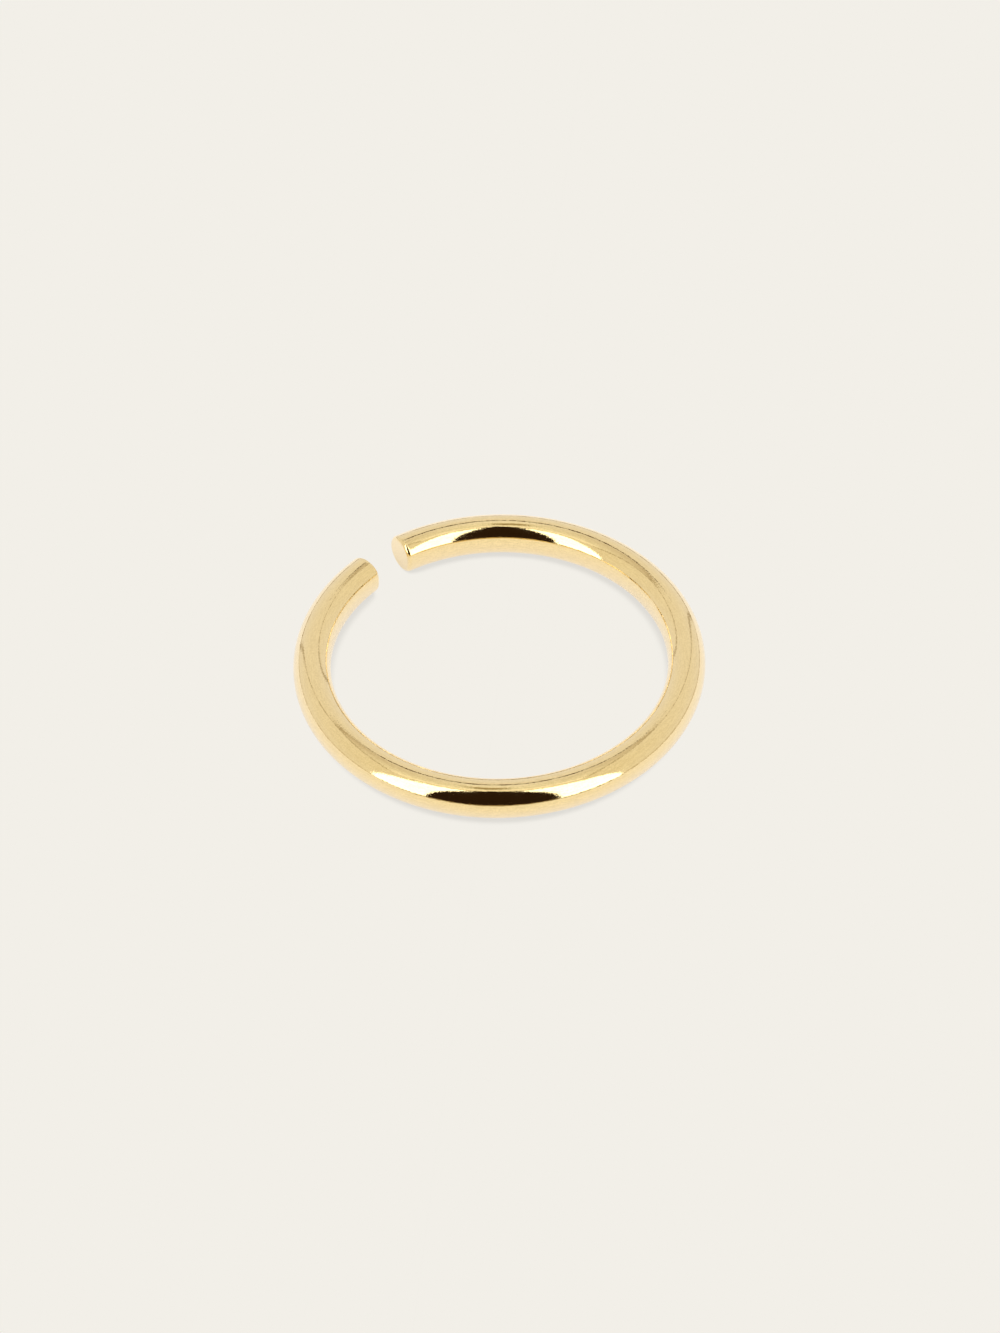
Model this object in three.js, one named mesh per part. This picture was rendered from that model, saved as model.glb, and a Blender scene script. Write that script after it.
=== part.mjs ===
// Plain open ear cuff: one length of round polished gold wire, cut square at both ends and bent
// into a ring. Millimetres, +Z up.
// The origin is the ring's centre, on the plane that the cuff lies on. +Y points out through the gap.

import * as THREE from 'three';
import { mergeVertices } from 'three/addons/utils/BufferGeometryUtils.js';

// Driving dimensions
const OUTER_DIAMETER = 12.1;    // across the ring, the mean of its length and width
const WIRE_DIAMETER = 1.15;
const GAP = 1.2;                // between the cut faces, straight across at the middle of the wire
const RIM_RADIUS = 0.12;        // rounding of the rim of each cut face
const INNER_FLATTENING = 0.05;  // how far the side that faces the hole is pressed in
const OVALNESS = 0.04;          // added to the ring's radius across the gap, taken off it through the gap

// Fineness of the facets
const WIRE_SIDES = 24;
const BEND_STEPS = 96;
const RIM_STEPS = 3;

// Sharpness of the turn from the flattened side into the round one: higher is sharper
const PRESS_SHARPNESS = 10;

// Sizes that follow
const wireRadius = WIRE_DIAMETER / 2;
const ringRadius = OUTER_DIAMETER / 2 - wireRadius;
const halfGapAngle = Math.asin(GAP / 2 / ringRadius);
const bendAngle = 2 * (Math.PI - halfGapAngle);
const wireLength = ringRadius * bendAngle;
const restHeight = wireRadius * Math.cos(Math.PI / WIRE_SIDES);
const pressedRadius = wireRadius - INNER_FLATTENING;
const pressLimit = (
  pressedRadius ** -PRESS_SHARPNESS - wireRadius ** -PRESS_SHARPNESS
) ** (-1 / PRESS_SHARPNESS);

const polishedGold = new THREE.MeshStandardMaterial({
  name: 'polished_gold',
  color: 0xe9c987,
  metalness: 1,
  roughness: 0.08,
});

// Half outline of the straight wire along Y: from the middle of one cut face, round its rim,
// along the side and round the other rim to the middle of the other cut face.
function wireOutline() {
  const rim = [];
  for (let i = 0; i <= RIM_STEPS; i++) {
    const turn = (i / RIM_STEPS) * (Math.PI / 2);
    const x = wireRadius - RIM_RADIUS * (1 - Math.sin(turn));
    const y = RIM_RADIUS * (1 - Math.cos(turn));
    rim.push(new THREE.Vector2(x, y));
  }
  const side = [];
  for (let i = 1; i < BEND_STEPS; i++) {
    const y = THREE.MathUtils.lerp(RIM_RADIUS, wireLength - RIM_RADIUS, i / BEND_STEPS);
    side.push(new THREE.Vector2(wireRadius, y));
  }
  const start = new THREE.Vector2(0, 0);
  const end = new THREE.Vector2(0, wireLength);
  const otherRim = rim.map((p) => new THREE.Vector2(p.x, wireLength - p.y)).reverse();
  return [start, ...rim, ...side, ...otherRim, end];
}

// The wire before bending. Its first corner is turned half a facet, so that one flat strip of
// facets looks straight down and the finished cuff lies on it.
function straightWire() {
  const halfFacet = Math.PI / WIRE_SIDES;
  const wire = new THREE.LatheGeometry(wireOutline(), WIRE_SIDES, halfFacet);
  wire.deleteAttribute('normal');
  wire.deleteAttribute('uv');
  return mergeVertices(wire);
}

// The side of the wire that faces the hole is a little flatter than the rest. A point's distance
// from the middle of the wire towards the hole is eased off, the more so the nearer to the limit.
function flattenInnerSide(outward) {
  if (outward >= 0) return outward;
  const share = (-outward / pressLimit) ** PRESS_SHARPNESS;
  return outward / (1 + share) ** (1 / PRESS_SHARPNESS);
}

// Wraps the wire round the slightly oval ring, from the gap's left side anticlockwise to its right.
// The wire's X becomes the direction away from the hole, its Y the way round, and its Z stays up.
function bend(wire) {
  const across = ringRadius + OVALNESS;
  const along = ringRadius - OVALNESS;
  const startAngle = Math.PI / 2 + halfGapAngle;
  const position = wire.getAttribute('position');
  const outwardDirection = new THREE.Vector2();
  for (let i = 0; i < position.count; i++) {
    const angle = startAngle + position.getY(i) / ringRadius;
    const outward = flattenInnerSide(position.getX(i));
    outwardDirection.set(along * Math.cos(angle), across * Math.sin(angle)).normalize();
    const x = across * Math.cos(angle) + outward * outwardDirection.x;
    const y = along * Math.sin(angle) + outward * outwardDirection.y;
    position.setXY(i, x, y);
  }
  wire.computeVertexNormals();
  return wire;
}

const cuffWire = new THREE.Mesh(bend(straightWire()), polishedGold);
cuffWire.name = 'cuff_wire';
cuffWire.position.z = restHeight;

const earCuff = new THREE.Group();
earCuff.add(cuffWire);

export default earCuff;
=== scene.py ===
# A plain open ear cuff of polished gold wire, lying on a pale surface inside a soft white tent.
# Metres, +Z up. The origin is the ring's centre on the surface, and +Y points out through the gap.

from math import asin, cos, pi, radians, sin

import bmesh
import bpy
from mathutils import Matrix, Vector


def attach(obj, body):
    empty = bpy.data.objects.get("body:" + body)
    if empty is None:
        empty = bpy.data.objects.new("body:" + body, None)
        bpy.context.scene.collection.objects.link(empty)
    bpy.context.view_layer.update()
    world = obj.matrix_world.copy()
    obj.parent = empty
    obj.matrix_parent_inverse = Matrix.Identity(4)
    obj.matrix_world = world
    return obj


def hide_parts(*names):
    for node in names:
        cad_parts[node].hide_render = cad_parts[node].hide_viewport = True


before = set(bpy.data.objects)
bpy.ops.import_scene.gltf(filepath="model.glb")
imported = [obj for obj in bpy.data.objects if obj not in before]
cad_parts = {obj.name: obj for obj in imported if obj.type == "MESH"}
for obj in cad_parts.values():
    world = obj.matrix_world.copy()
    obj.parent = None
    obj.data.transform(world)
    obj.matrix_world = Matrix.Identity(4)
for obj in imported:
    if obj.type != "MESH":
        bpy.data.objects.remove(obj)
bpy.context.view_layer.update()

MM = 0.001

# The cuff's driving dimensions, the same as in the part
OUTER_DIAMETER = 12.1 * MM
WIRE_RADIUS = 1.15 * MM / 2
GAP = 1.2 * MM
RIM_RADIUS = 0.12 * MM
INNER_FLATTENING = 0.05 * MM
OVALNESS = 0.04 * MM

RING_RADIUS = OUTER_DIAMETER / 2 - WIRE_RADIUS
HALF_GAP_ANGLE = asin(GAP / 2 / RING_RADIUS)
BEND_ANGLE = 2 * (pi - HALF_GAP_ANGLE)

# How far round the innermost point of the wire the flattening reaches, in wire radii
FLATTENED_REACH = 0.9

# Fineness of the smooth mesh. Points closer than the tolerance count as one
WIRE_SIDES = 64
BEND_STEPS = 240
RIM_STEPS = 6
FLAT_INSET = 0.05 * MM
TOLERANCE = 0.001 * MM

# The gold's colour in its darkest and its lightest grain and marks, and a painted sheen's colour and
# strength, which whiten it where it is seen edge-on
GOLD_DARK = (0.870, 0.680, 0.316)
GOLD_LIGHT = (0.975, 0.781, 0.384)
GOLD_RIM_SHEEN = (1.0, 0.96, 0.92)
RIM_SHEEN_STRENGTH = 0.7

# The gold's finish: its roughness where it is smoothest and haziest, and the sizes of its patterns
SMOOTHEST = 0.03
HAZIEST = 0.09
GRAIN_SIZE = 0.045 * MM
MARK_WIDTH = 0.04 * MM
MARK_STRETCH = 5              # length of a polishing mark, in mark widths
HAZE_SIZE = 0.9 * MM
RELIEF = 0.002 * MM

# The middle part of each noise's values, which is spread over the whole of its effect
TONE_RANGE = (0.38, 0.62)
HAZE_RANGE = (0.3, 0.7)

# Camera: where the photograph was taken from
CAMERA_AZIMUTH = -39.6        # degrees round from -Y towards +X
CAMERA_ELEVATION = 45.4       # degrees
CAMERA_DISTANCE = 178 * MM
LENS = 163.5                  # millimetres, as the camera takes them
SENSOR = 36.0                 # millimetres, as the camera takes them
CLIP_START = 1 * MM
CLIP_END = 10
PHOTO_HEIGHT = 1333           # pixels
RING_LEFT_OF_MIDDLE = 0.6     # pixels of the photograph
RING_ABOVE_MIDDLE = 3.6       # pixels of the photograph

# The white tent that the gold reflects, with a dark opening at the front between two bright panels.
# A place in it is measured to the camera's right, towards the camera, and up.
TENT_HEIGHT = 450 * MM
TENT_FRONT = 60 * MM
ROOF_FRONT = 30 * MM
BACK_WALL = -364 * MM
LEFT_FOOT = -339 * MM
RIGHT_FOOT = 246 * MM
FOOT_FRONT = 200 * MM
PANEL_HEIGHT = 330 * MM
OPENING_HEIGHT = 900 * MM
OPENING_LEFT = -39 * MM
OPENING_RIGHT = 34 * MM
PANEL_LEFT = -112 * MM
PANEL_RIGHT = 108 * MM
CARD_GAP = 2 * MM

# The roof's outline, from its front left corner round its back to its front right one
ROOF_LEFT_FRONT = (-250 * MM, ROOF_FRONT)
ROOF_LEFT_CORNER = (-197 * MM, -262 * MM)
ROOF_LEFT_BACK = (-42 * MM, -362 * MM)
ROOF_RIGHT_BACK = (40 * MM, -362 * MM)
ROOF_RIGHT_CORNER = (138 * MM, -290 * MM)
ROOF_RIGHT_FRONT = (190 * MM, ROOF_FRONT)

# The dark mark on the roof, high above the ring and a little behind it
ROOF_MARK_LEFT = -33 * MM
ROOF_MARK_RIGHT = 13 * MM
ROOF_MARK_NEAR = -40 * MM
ROOF_MARK_FAR = -150 * MM

# The tent's seams and feet, which draw lines on the gold: their widths, and where they hang
SIDE_SEAM = 14 * MM
BACK_SEAM = 46 * MM
FOOT_HEIGHT = 26 * MM
FRONT_FOOT_HEIGHT = 5 * MM
SEAM_PLACE = 0.95             # how far out a seam of the roof hangs, where 1 is the roof itself

# Colours and strengths of light, linear
WALL_COLOUR = (0.856, 0.80, 0.692)
ROOF_COLOUR = (0.93, 0.90, 0.81)
ROOF_FRONT_COLOUR = (1.15, 1.10, 1.0)
ROOF_CORNER_COLOUR = (0.66, 0.58, 0.46)
PANEL_COLOUR = (2.5, 2.5, 2.5)
OPENING_COLOUR = (0.024, 0.012, 0.006)
SIDE_SEAM_COLOUR = (0.45, 0.37, 0.25)
BACK_SEAM_COLOUR = (0.12, 0.07, 0.03)
ROOF_MARK_COLOUR = (0.42, 0.34, 0.21)
SIDE_FOOT_COLOUR = (0.69, 0.61, 0.48)
BACK_FOOT_COLOUR = (0.42, 0.33, 0.21)
FRONT_FOOT_COLOUR = (0.35, 0.27, 0.16)

# The roof dims towards its back corners, fully where it lies so far aside and so far back
CORNER_ASIDE = 90 * MM
CORNER_BACK = -290 * MM

# The floor, as the camera sees it and as the gold reflects it
FLOOR_SIZE = 6
FLOOR_COLOUR = (0.888, 0.863, 0.807)
REFLECTED_FLOOR = (1.01, 0.977, 0.925)
FLOOR_REFLECTANCE = 0.5
FLOOR_GLOW = 0.5

# The floor's shadow starts, and is full, where the cuff hides such shares of the sky. The sky that
# counts leans outwards at the ring's sides, so that more of the shadow falls into the hole there.
SHADOW_STARTS = 0.53
SHADOW_FULL = 0.70
SHADOW_DEPTH = 0.17
SHADOW_REACH = 0.6 * MM
SHADOW_LEAN = 75              # slope of the lean, for each metre to the side

# Directions: up, level towards the camera, and level to the camera's right
UP = Vector((0, 0, 1))
TO_CAMERA = Vector((sin(radians(CAMERA_AZIMUTH)), -cos(radians(CAMERA_AZIMUTH)), 0))
TO_RIGHT = Vector((-TO_CAMERA.y, TO_CAMERA.x, 0))


# Selecting

def deselect_everything():
    if bpy.context.object and bpy.context.object.mode != "OBJECT":
        bpy.ops.object.mode_set(mode="OBJECT")
    bpy.ops.object.select_all(action="DESELECT")


def select_vertices(piece, wanted):
    """In edit mode, selects the vertices for which wanted(place) is true."""
    bpy.ops.mesh.select_mode(type="VERT")
    bpy.ops.mesh.select_all(action="DESELECT")
    mesh = bmesh.from_edit_mesh(piece.data)
    for vertex in mesh.verts:
        vertex.select_set(wanted(vertex.co))
    mesh.select_flush(True)
    bmesh.update_edit_mesh(piece.data)


def select_edges(piece, wanted):
    """In edit mode, selects the edges for which wanted(edge) is true."""
    bpy.ops.mesh.select_mode(type="EDGE")
    bpy.ops.mesh.select_all(action="DESELECT")
    mesh = bmesh.from_edit_mesh(piece.data)
    for edge in mesh.edges:
        edge.select_set(wanted(edge))
    bmesh.update_edit_mesh(piece.data)


def select_faces(piece, wanted):
    """In edit mode, selects the faces for which wanted(face) is true."""
    bpy.ops.mesh.select_mode(type="FACE")
    bpy.ops.mesh.select_all(action="DESELECT")
    mesh = bmesh.from_edit_mesh(piece.data)
    for face in mesh.faces:
        face.select_set(wanted(face))
    bmesh.update_edit_mesh(piece.data)


# The wire

def make_wire():
    deselect_everything()
    start = pi / 2 - HALF_GAP_ANGLE
    outward = Vector((cos(start), sin(start), 0))
    middle = outward * RING_RADIUS + UP * WIRE_RADIUS
    bpy.ops.mesh.primitive_circle_add(
        vertices=WIRE_SIDES, radius=WIRE_RADIUS, location=middle, rotation=(pi / 2, 0, start)
    )
    wire = bpy.context.object
    wire.name = "ear_cuff_wire"
    bpy.ops.object.transform_apply(location=True, rotation=True, scale=True)

    bpy.ops.object.mode_set(mode="EDIT")
    flatten_inner_side(wire, outward)
    bend_round()
    close_ends(wire)
    bpy.ops.mesh.select_all(action="SELECT")
    bpy.ops.transform.resize(
        value=(1 + OVALNESS / RING_RADIUS, 1 - OVALNESS / RING_RADIUS, 1),
        center_override=(0, 0, 0),
    )
    bpy.ops.mesh.normals_make_consistent(inside=False)
    bpy.ops.object.mode_set(mode="OBJECT")

    bpy.ops.object.shade_smooth()
    smooth = wire.modifiers.new("smooth", "SUBSURF")
    smooth.levels = 1
    smooth.render_levels = 1
    bpy.ops.object.modifier_apply(modifier=smooth.name)
    return wire


def flatten_inner_side(wire, outward):
    """Pushes the point that faces the hole outwards, and its neighbours with it."""
    innermost = RING_RADIUS - WIRE_RADIUS + TOLERANCE
    select_vertices(wire, lambda place: place.dot(outward) < innermost)
    bpy.ops.transform.translate(
        value=outward * INNER_FLATTENING,
        use_proportional_edit=True,
        proportional_edit_falloff="SMOOTH",
        proportional_size=FLATTENED_REACH * WIRE_RADIUS,
    )


def bend_round():
    """Sweeps the wire's outline clockwise round the ring, from one side of the gap to the other."""
    bpy.ops.mesh.select_all(action="SELECT")
    bpy.ops.mesh.spin(
        steps=BEND_STEPS, angle=BEND_ANGLE, center=(0, 0, 0), axis=(0, 0, 1), use_normal_flip=False
    )
    bpy.ops.mesh.select_all(action="SELECT")
    bpy.ops.mesh.remove_doubles(threshold=TOLERANCE)


def is_cut_face(face):
    """A cut face has many sides, and every face along the wire has four."""
    return len(face.verts) > 4


def close_ends(wire):
    """Fills both cut faces, rounds their rims, and insets them to keep the middle flat."""
    select_edges(wire, lambda edge: edge.is_boundary)
    bpy.ops.mesh.edge_face_add()
    select_edges(wire, lambda edge: any(is_cut_face(face) for face in edge.link_faces))
    bpy.ops.mesh.bevel(
        offset=RIM_RADIUS, offset_type="OFFSET", segments=RIM_STEPS, profile=0.5, affect="EDGES",
        clamp_overlap=False,
    )
    select_faces(wire, is_cut_face)
    bpy.ops.mesh.inset(thickness=FLAT_INSET, depth=0, use_individual=True)


# Materials

def opaque(colour):
    """A colour with its opacity, as a socket takes it."""
    return (*colour, 1)


class Nodes:
    """Adds and links nodes in one node tree."""

    def __init__(self, tree):
        self.tree = tree

    def add(self, kind, **settings):
        node = self.tree.nodes.new(kind)
        for name, value in settings.items():
            setattr(node, name, value)
        return node

    def give(self, value, socket):
        """Links another node's output to an input, or sets the input to a number or a colour."""
        if isinstance(value, bpy.types.NodeSocket):
            self.tree.links.new(value, socket)
        else:
            socket.default_value = value

    def fill(self, node, **values):
        """Gives values to a node's inputs by their names, with an underscore for each space."""
        for name, value in values.items():
            self.give(value, node.inputs[name.replace("_", " ")])
        return node

    def math(self, operation, *values):
        node = self.add("ShaderNodeMath", operation=operation)
        for socket, value in zip(node.inputs, values):
            self.give(value, socket)
        return node.outputs["Value"]

    def vector_math(self, operation, *values):
        """Vector maths: a number where the result is one, and otherwise a vector."""
        node = self.add("ShaderNodeVectorMath", operation=operation)
        for socket, value in zip(node.inputs, values):
            self.give(value, socket)
        return node.outputs["Value" if operation == "DOT_PRODUCT" else "Vector"]

    def noise(self, vector, size, detail):
        """Noise from 0 to 1 whose lumps have a given size."""
        node = self.add("ShaderNodeTexNoise", noise_dimensions="3D")
        self.fill(node, Vector=vector, Scale=self.math("DIVIDE", 1, size), Detail=detail)
        return node.outputs["Fac"]

    def stretch(self, value, old, new):
        """Maps the range old to the range new, and holds what lies outside at its ends."""
        node = self.add("ShaderNodeMapRange")
        self.fill(node, Value=value, From_Min=old[0], From_Max=old[1], To_Min=new[0], To_Max=new[1])
        return node.outputs["Result"]

    def mix_colour(self, factor, first, second):
        """The first colour where the factor is 0, and the second where it is 1."""
        node = self.add("ShaderNodeMix", data_type="RGBA")
        colours = [socket for socket in node.inputs if socket.type == "RGBA"]
        self.give(factor, node.inputs[0])
        self.give(first, colours[0])
        self.give(second, colours[1])
        return [socket for socket in node.outputs if socket.type == "RGBA"][0]

    def object_place(self):
        """Where a point lies in the object's own frame."""
        return self.add("ShaderNodeTexCoord").outputs["Object"]

    def reflected_or_seen(self, reflected, seen):
        """The camera sees one shader directly, and the gold reflects the other."""
        either = self.add("ShaderNodeMixShader")
        self.give(self.add("ShaderNodeLightPath").outputs["Is Camera Ray"], either.inputs["Fac"])
        self.give(reflected, either.inputs[1])
        self.give(seen, either.inputs[2])
        return either.outputs["Shader"]


def make_polish_group():
    """The finish of polished plated wire: fine grain, lengthwise polishing marks and patches of haze.

    Place is a point on a wire bent round Z. The marks run along the wire, and their pattern starts
    and ends on +Y, in the ring's gap.
    """
    group = bpy.data.node_groups.new("polished_wire_finish", "ShaderNodeTree")
    sockets = group.interface
    sockets.new_socket("Place", in_out="INPUT", socket_type="NodeSocketVector")
    for name in ("Ring Radius", "Grain Size", "Mark Width", "Mark Stretch", "Haze Size"):
        sockets.new_socket(name, in_out="INPUT", socket_type="NodeSocketFloat")
    for name in ("Tone", "Haze", "Height"):
        sockets.new_socket(name, in_out="OUTPUT", socket_type="NodeSocketFloat")
    nodes = Nodes(group)
    given = nodes.add("NodeGroupInput").outputs

    place = nodes.fill(nodes.add("ShaderNodeSeparateXYZ"), Vector=given["Place"])
    x, y, z = place.outputs
    turn = nodes.math("ARCTAN2", x, nodes.math("MULTIPLY", y, -1))
    along = nodes.math("MULTIPLY", turn, given["Ring Radius"])
    along = nodes.math("DIVIDE", along, given["Mark Stretch"])
    squares = nodes.math("ADD", nodes.math("MULTIPLY", x, x), nodes.math("MULTIPLY", y, y))
    on_wire = nodes.add("ShaderNodeCombineXYZ")
    nodes.fill(on_wire, X=along, Y=nodes.math("SQRT", squares), Z=z)

    grain = nodes.noise(given["Place"], given["Grain Size"], detail=1)
    marks = nodes.noise(on_wire.outputs["Vector"], given["Mark Width"], detail=1)
    mean = nodes.math("MULTIPLY", nodes.math("ADD", grain, marks), 0.5)
    haze = nodes.noise(given["Place"], given["Haze Size"], detail=2)
    nodes.fill(
        nodes.add("NodeGroupOutput"), Height=mean, Tone=nodes.stretch(mean, TONE_RANGE, (0, 1)),
        Haze=nodes.stretch(haze, HAZE_RANGE, (0, 1)),
    )
    return group


def make_gold(polish):
    """Polished gold with a painted sheen: its colour whitens where it is seen edge-on, as metal's
    reflection does.
    """
    gold = bpy.data.materials.new("polished_gold")
    gold.use_nodes = True
    nodes = Nodes(gold.node_tree)
    surface = gold.node_tree.nodes["Principled BSDF"]

    finish = nodes.add("ShaderNodeGroup", node_tree=polish)
    nodes.fill(
        finish, Place=nodes.object_place(), Ring_Radius=RING_RADIUS, Grain_Size=GRAIN_SIZE,
        Mark_Width=MARK_WIDTH, Mark_Stretch=MARK_STRETCH, Haze_Size=HAZE_SIZE,
    )
    # Painted sheen: the gold's colour is whitened where the surface is seen edge-on
    edge_on = nodes.add("ShaderNodeLayerWeight").outputs["Facing"]
    painted_rim_sheen = nodes.math("MULTIPLY", edge_on, RIM_SHEEN_STRENGTH)
    colour = nodes.mix_colour(finish.outputs["Tone"], opaque(GOLD_DARK), opaque(GOLD_LIGHT))
    colour = nodes.mix_colour(painted_rim_sheen, colour, opaque(GOLD_RIM_SHEEN))
    relief = nodes.add("ShaderNodeBump")
    nodes.fill(relief, Strength=1, Distance=RELIEF, Height=finish.outputs["Height"])
    roughness = nodes.stretch(finish.outputs["Haze"], (0, 1), (SMOOTHEST, HAZIEST))
    nodes.fill(
        surface, Base_Color=colour, Metallic=1, Roughness=roughness, Normal=relief.outputs["Normal"]
    )
    return gold


# The stage

def in_tent(right, front, up):
    """A place in the tent, measured to the camera's right, towards the camera, and up."""
    return TO_RIGHT * right + TO_CAMERA * front + UP * up


def glow_nodes(name):
    """A material of plain light, its nodes, and the node that glows."""
    material = bpy.data.materials.new(name)
    material.use_nodes = True
    material.node_tree.nodes.clear()
    nodes = Nodes(material.node_tree)
    glow = nodes.add("ShaderNodeEmission")
    nodes.fill(nodes.add("ShaderNodeOutputMaterial"), Surface=glow.outputs["Emission"])
    return material, nodes, glow


def plain_glow(name, colour):
    material, nodes, glow = glow_nodes(name)
    nodes.fill(glow, Color=opaque(colour))
    return material


def roof_glow():
    """Light from the roof: brighter towards the front, and dim in the two back corners."""
    material, nodes, glow = glow_nodes("roof_glow")
    place = nodes.object_place()
    right = nodes.vector_math("DOT_PRODUCT", place, TO_RIGHT)
    front = nodes.vector_math("DOT_PRODUCT", place, TO_CAMERA)
    aside = nodes.stretch(nodes.math("ABSOLUTE", right), (0, CORNER_ASIDE), (0, 1))
    back = nodes.stretch(front, (0, CORNER_BACK), (0, 1))
    ahead = nodes.stretch(front, (ROOF_MARK_NEAR, ROOF_FRONT), (0, 1))
    in_corner = nodes.math("MULTIPLY", aside, back)
    colour = nodes.mix_colour(ahead, opaque(ROOF_COLOUR), opaque(ROOF_FRONT_COLOUR))
    nodes.fill(glow, Color=nodes.mix_colour(in_corner, colour, opaque(ROOF_CORNER_COLOUR)))
    return material


def add_card(corners, material):
    """A flat card that the gold reflects, and the camera doesn't see."""
    mesh = bpy.data.meshes.new(material.name)
    mesh.from_pydata(corners, [], [range(len(corners))])
    mesh.materials.append(material)
    card = bpy.data.objects.new(material.name, mesh)
    bpy.context.collection.objects.link(card)
    card.visible_camera = False


def front_card(name, left, right, height, colour):
    """A card that stands across the front of the tent."""
    places = ((left, 0), (right, 0), (right, height), (left, height))
    corners = [in_tent(side, TENT_FRONT, up) for side, up in places]
    add_card(corners, plain_glow(name, colour))


def strip(name, start, end, width, colour):
    """A narrow strip between two places in the tent, turned to face the ring."""
    start, end = in_tent(*start), in_tent(*end)
    aside = (end - start).cross(start + end).normalized() * width / 2
    add_card([start - aside, end - aside, end + aside, start + aside], plain_glow(name, colour))


def roof_seam_place(corner):
    """A place on the roof's outline, brought a little nearer so that the seam hangs in front."""
    return Vector((*corner, TENT_HEIGHT)) * SEAM_PLACE


def make_front():
    front_card("dark_opening", OPENING_LEFT, OPENING_RIGHT, OPENING_HEIGHT, OPENING_COLOUR)
    front_card("left_panel", PANEL_LEFT, OPENING_LEFT, PANEL_HEIGHT, PANEL_COLOUR)
    front_card("right_panel", OPENING_RIGHT, PANEL_RIGHT, PANEL_HEIGHT, PANEL_COLOUR)
    front, low = TENT_FRONT - CARD_GAP, FRONT_FOOT_HEIGHT / 2
    ends = (PANEL_LEFT, front, low), (PANEL_RIGHT, front, low)
    strip("front_foot", *ends, FRONT_FOOT_HEIGHT, FRONT_FOOT_COLOUR)


def make_roof():
    outline = [
        ROOF_LEFT_FRONT, ROOF_LEFT_CORNER, ROOF_LEFT_BACK, ROOF_RIGHT_BACK, ROOF_RIGHT_CORNER,
        ROOF_RIGHT_FRONT,
    ]
    add_card([in_tent(*place, TENT_HEIGHT) for place in outline], roof_glow())
    mark = [
        (ROOF_MARK_LEFT, ROOF_MARK_NEAR), (ROOF_MARK_RIGHT, ROOF_MARK_NEAR),
        (ROOF_MARK_RIGHT, ROOF_MARK_FAR), (ROOF_MARK_LEFT, ROOF_MARK_FAR),
    ]
    below = TENT_HEIGHT - CARD_GAP
    add_card([in_tent(*place, below) for place in mark], plain_glow("roof_mark", ROOF_MARK_COLOUR))

    corners = [roof_seam_place(corner) for corner in outline]
    seams = [
        ("left_roof_edge", SIDE_SEAM, SIDE_SEAM_COLOUR),
        ("back_seam_left", SIDE_SEAM, SIDE_SEAM_COLOUR),
        ("back_seam", BACK_SEAM, BACK_SEAM_COLOUR),
        ("back_seam_right", SIDE_SEAM, SIDE_SEAM_COLOUR),
        ("right_roof_edge", SIDE_SEAM, SIDE_SEAM_COLOUR),
    ]
    for start, end, (name, width, colour) in zip(corners, corners[1:], seams):
        strip(name, start, end, width, colour)


def make_walls():
    """The walls' light comes from the world. Here are the seams at their corners and their feet."""
    low = FOOT_HEIGHT / 2
    for side, foot, corner in (
        ("left", LEFT_FOOT, ROOF_LEFT_CORNER), ("right", RIGHT_FOOT, ROOF_RIGHT_CORNER)
    ):
        ends = (foot, BACK_WALL, 0), roof_seam_place(corner)
        strip(side + "_corner_seam", *ends, SIDE_SEAM, SIDE_SEAM_COLOUR)
        ends = (foot, BACK_WALL, low), (foot, FOOT_FRONT, low)
        strip(side + "_foot", *ends, FOOT_HEIGHT, SIDE_FOOT_COLOUR)
    ends = (LEFT_FOOT, BACK_WALL, low), (RIGHT_FOOT, BACK_WALL, low)
    strip("back_foot", *ends, FOOT_HEIGHT, BACK_FOOT_COLOUR)


def floor_shadow(nodes):
    """The floor's light: 1 in the open, and less close to the cuff."""
    lean = nodes.vector_math("DOT_PRODUCT", nodes.object_place(), TO_RIGHT * SHADOW_LEAN)
    leaning = nodes.vector_math("MULTIPLY_ADD", lean, TO_RIGHT, UP)
    sky = nodes.add("ShaderNodeAmbientOcclusion")
    nodes.fill(sky, Distance=SHADOW_REACH, Normal=nodes.vector_math("NORMALIZE", leaning))
    hidden = nodes.math("SUBTRACT", 1, sky.outputs["AO"])
    return nodes.stretch(hidden, (SHADOW_STARTS, SHADOW_FULL), (1, 1 - SHADOW_DEPTH))


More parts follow.
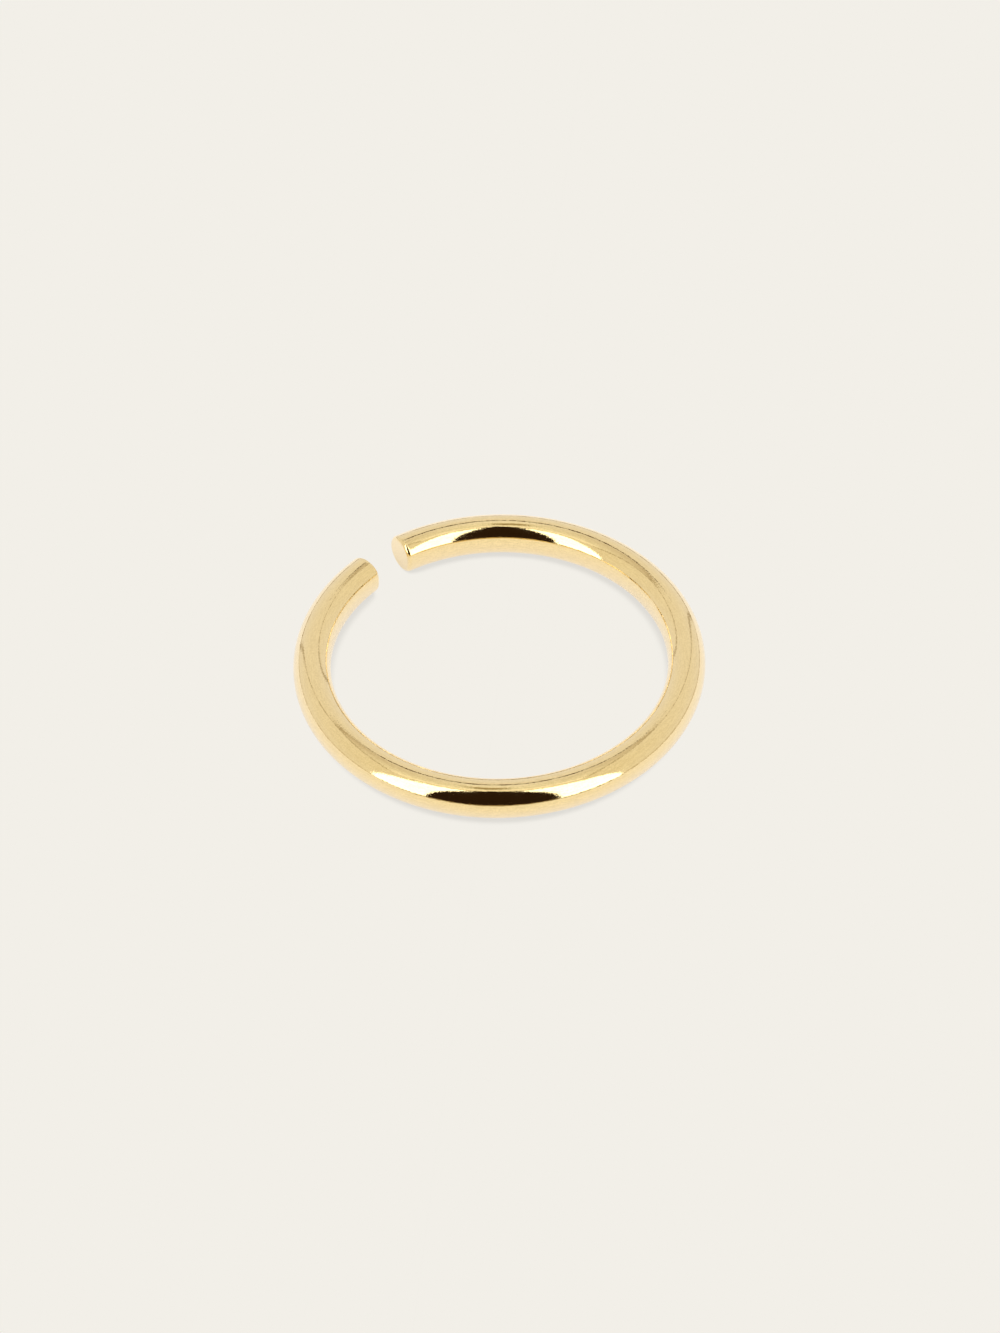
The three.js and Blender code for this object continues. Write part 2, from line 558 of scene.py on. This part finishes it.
def make_floor():
    """The camera sees a plain pale floor with a faint shadow. The gold reflects a lit one."""
    deselect_everything()
    bpy.ops.mesh.primitive_plane_add(size=FLOOR_SIZE)
    floor = bpy.context.object
    floor.name = "floor"
    material = bpy.data.materials.new("pale_floor")
    material.use_nodes = True
    nodes = Nodes(material.node_tree)
    lit = material.node_tree.nodes["Principled BSDF"]
    matt = [FLOOR_REFLECTANCE * part for part in REFLECTED_FLOOR]
    nodes.fill(
        lit, Base_Color=opaque(matt), Roughness=1, Specular_IOR_Level=0,
        Emission_Color=opaque(REFLECTED_FLOOR), Emission_Strength=FLOOR_GLOW,
    )
    seen = nodes.add("ShaderNodeEmission")
    nodes.fill(seen, Color=opaque(FLOOR_COLOUR), Strength=floor_shadow(nodes))
    either = nodes.reflected_or_seen(lit.outputs["BSDF"], seen.outputs["Emission"])
    nodes.fill(material.node_tree.nodes["Material Output"], Surface=either)
    floor.data.materials.append(material)


def make_world():
    """The gold reflects the tent's walls. The camera sees the floor's colour past the floor's edge."""
    world = bpy.data.worlds.new("tent_walls")
    bpy.context.scene.world = world
    world.use_nodes = True
    world.node_tree.nodes.clear()
    nodes = Nodes(world.node_tree)
    walls = nodes.fill(nodes.add("ShaderNodeBackground"), Color=opaque(WALL_COLOUR))
    backdrop = nodes.fill(nodes.add("ShaderNodeBackground"), Color=opaque(FLOOR_COLOUR))
    either = nodes.reflected_or_seen(walls.outputs["Background"], backdrop.outputs["Background"])
    nodes.fill(nodes.add("ShaderNodeOutputWorld"), Surface=either)


def make_camera():
    elevation = radians(CAMERA_ELEVATION)
    back = TO_CAMERA * cos(elevation) + UP * sin(elevation)
    data = bpy.data.cameras.new("camera")
    data.sensor_width = SENSOR
    data.lens = LENS
    data.clip_start = CLIP_START
    data.clip_end = CLIP_END
    data.shift_x = RING_LEFT_OF_MIDDLE / PHOTO_HEIGHT
    data.shift_y = -RING_ABOVE_MIDDLE / PHOTO_HEIGHT
    camera = bpy.data.objects.new("camera", data)
    bpy.context.collection.objects.link(camera)
    camera.location = UP * WIRE_RADIUS + back * CAMERA_DISTANCE
    camera.rotation_mode = "QUATERNION"
    camera.rotation_quaternion = (-back).to_track_quat("-Z", "Y")
    bpy.context.scene.camera = camera


bpy.context.scene.view_settings.view_transform = "Standard"
make_camera()
make_world()
make_floor()
make_front()
make_roof()
make_walls()

wire = make_wire()
wire.data.materials.append(make_gold(make_polish_group()))
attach(wire, "root")
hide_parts("cuff_wire")
